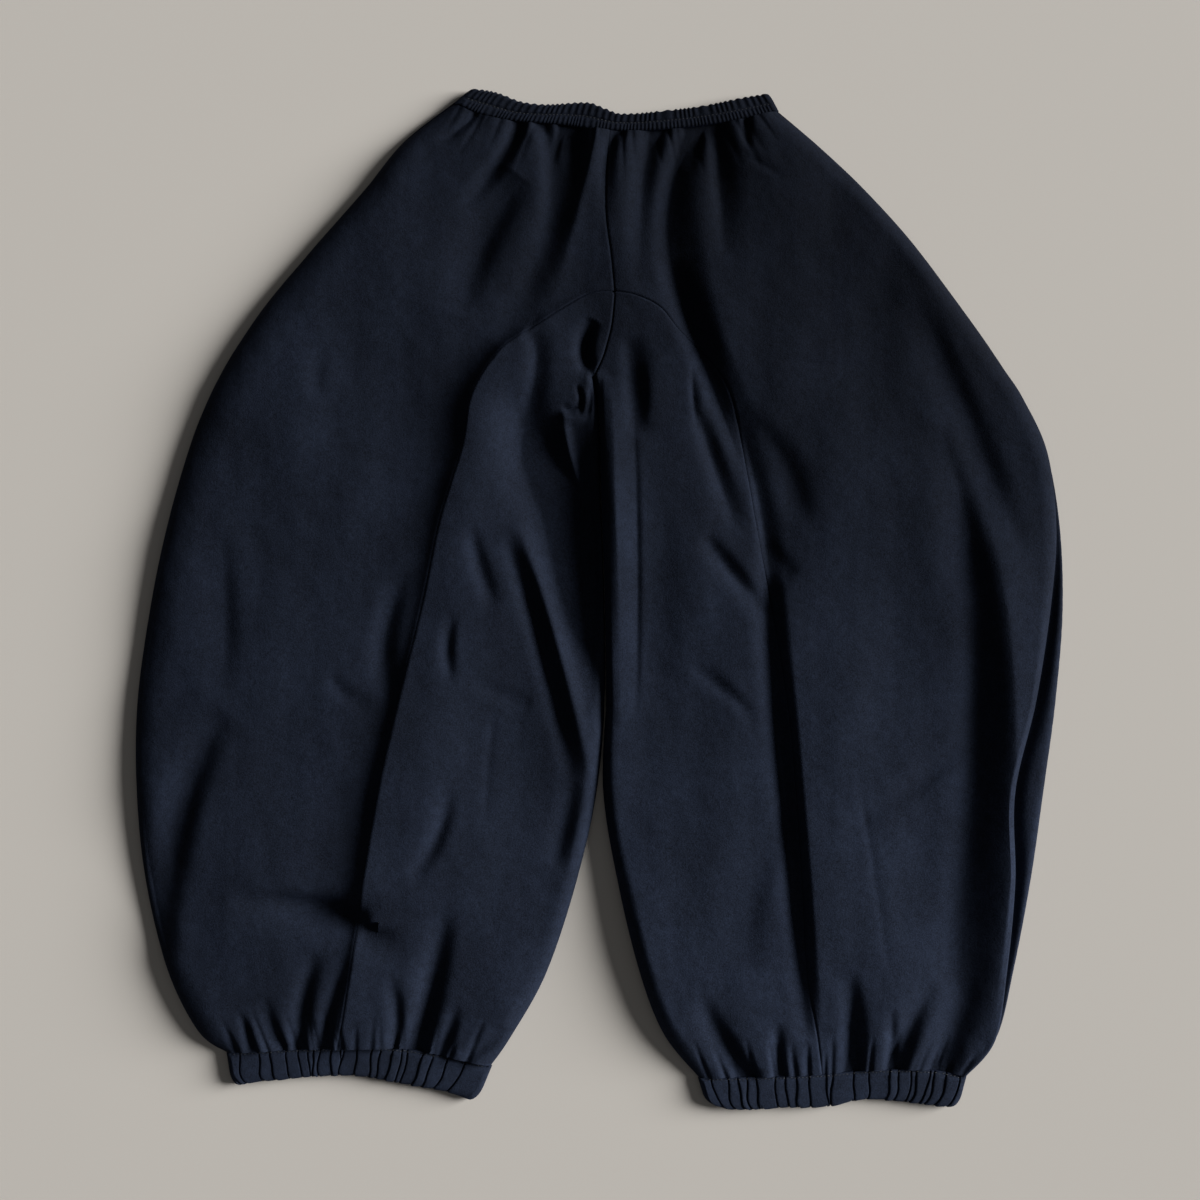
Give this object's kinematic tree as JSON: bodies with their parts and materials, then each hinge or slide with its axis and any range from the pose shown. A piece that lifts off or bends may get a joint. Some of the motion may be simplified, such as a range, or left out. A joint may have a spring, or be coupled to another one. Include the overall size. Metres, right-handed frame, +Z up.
{
  "type": "jogger sweatpants",
  "caption": "Balloon-leg jogger sweatpants laid flat, front up, with arched inner-leg seams, a gathered elastic waistband and gathered elastic cuffs.",
  "frame": {"origin": "under the middle of the garment's box, on the surface it lies on", "axes": "+Y from the cuffs to the waist, +X to the viewer's right, which is the wearer's left leg, +Z up out of the front"},
  "size_m": [0.929, 1.0218, 0.0304],
  "materials": {
    "fleece": "very dark navy brushed fleece, matt",
    "casing": "the same fleece gathered over elastic, matt"
  },
  "bodies": {
    "root": {"front_outer_right": "fleece", "front_outer_left": "fleece", "front_inner_right": "fleece", "front_inner_left": "fleece", "back_outer_right": "fleece", "back_outer_left": "fleece", "back_inner_right": "fleece", "back_inner_left": "fleece", "waistband": "casing", "cuff_right": "casing", "cuff_left": "casing"}
  },
  "joints": []
}
